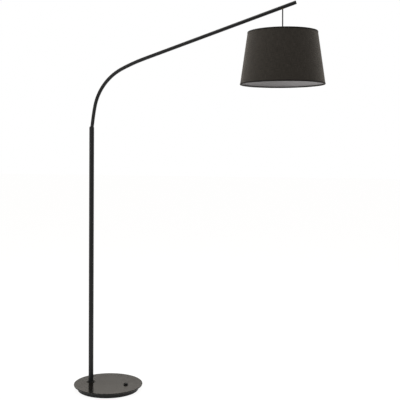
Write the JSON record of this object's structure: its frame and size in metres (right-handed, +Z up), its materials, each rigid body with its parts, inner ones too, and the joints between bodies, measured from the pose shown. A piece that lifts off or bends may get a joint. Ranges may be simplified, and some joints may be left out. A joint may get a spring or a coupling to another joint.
{
  "type": "floor lamp",
  "caption": "Floor lamp: round weighted base, offset pole, telescoping bent arm that swivels, and a tapered drum shade hung on a short cord.",
  "frame": {"origin": "centre of the base's underside, on the floor", "axes": "+Z up; the pole stands at -X on the base and the arm reaches towards +X at rest; +Y is the arm's left side"},
  "size_m": [1.265, 0.408, 1.9409],
  "materials": {
    "black_tube": "satin black powder coat",
    "black_base": "satin black powder coat",
    "cast_black": "black painted cast iron",
    "rubber": "matt",
    "zinc": "zinc plated",
    "zinc_black": "blackened steel",
    "steel": "turned steel",
    "nylon": "natural nylon",
    "white_plastic": "moulded",
    "black_plastic": "moulded, semi matt",
    "black_flex": "smooth round flex",
    "cord_braid": "flex in a braided black sleeve",
    "brown_lead": "insulated leads",
    "brass": "turned",
    "bakelite": "moulded",
    "ceramic": "glazed",
    "bulb_metal": "drawn",
    "white_wire": "white coated wire",
    "shade_lining": "white laminate film",
    "shade_fabric": "charcoal plain weave",
    "shade_trim": "folded binding",
    "opal_glass": "opal"
  },
  "bodies": {
    "base": {"base_plate": "black_base", "base_weight": "cast_black", "base_pad": "rubber", "base_screws": "zinc", "foot_collar": "black_plastic", "pole_tube": "black_tube", "pole_plug": "steel", "pole_stud": "zinc", "stud_washer": "zinc", "stud_nut": "zinc", "guide_bush": "nylon", "guide_screw": "zinc_black", "terminal_block": "white_plastic", "terminal_screws": "zinc", "cable_gland": "black_plastic", "pole_leads": "black_flex", "switch_leads": "brown_lead", "coiled_flex": "black_flex", "switch_body": "black_plastic", "switch_bezel": "black_plastic"},
    "button": {"switch_button": "black_plastic"},
    "lift": {"friction_sleeve": "nylon"},
    "arm": {"arm_tube": "black_tube", "arm_collar": "black_tube", "arm_end_cap": "black_tube", "stop_rings": "steel", "arm_flex": "black_flex", "cord_bush": "black_plastic"},
    "ferrule": {"cord_ferrule": "brass"},
    "cord": {"suspension_cord": "cord_braid"},
    "pendant": {"cord_grip": "black_plastic", "holder_cap": "bakelite", "holder_body": "bakelite", "holder_insert": "ceramic", "holder_thread": "bulb_metal", "holder_contact": "brass", "shade_ring_nut": "bakelite", "shade_spider": "white_wire", "shade_top_ring": "white_wire", "shade_bottom_ring": "white_wire", "shade_lining": "shade_lining", "shade_fabric": "shade_fabric", "shade_top_trim": "shade_trim", "shade_bottom_trim": "shade_trim", "bulb_globe": "opal_glass", "bulb_cap": "bulb_metal"}
  },
  "joints": [
    {"name": "switch_press", "type": "slide", "parent": "base", "child": "button", "axis": [0, 0, -1], "range_m": [0, 0.003], "stiffness_N_per_m": 400, "springref_m": -0.0005},
    {"name": "arm_lift", "type": "slide", "parent": "base", "child": "lift", "axis": [0, 0, 1], "range_m": [0, 0.2], "deforming": ["coiled_flex"]},
    {"name": "arm_swivel", "type": "hinge", "parent": "lift", "child": "arm", "pos_m": [-0.095, 0, 1.3], "axis": [0, 0, 1], "range_deg": [-165, 165]},
    {"name": "pendant_swing", "type": "hinge", "parent": "arm", "child": "ferrule", "pos_m": [0.886, 0, 1.90808], "axis": [0, 1, 0], "range_deg": [-15, 11]},
    {"name": "pendant_sway", "type": "hinge", "parent": "ferrule", "child": "cord", "pos_m": [0.886, 0, 1.90808], "axis": [1, 0, 0], "range_deg": [-12, 12]},
    {"name": "shade_twist", "type": "hinge", "parent": "cord", "child": "pendant", "pos_m": [0.886, 0, 1.8], "axis": [0, 0, 1], "range_deg": [-90, 90]}
  ]
}
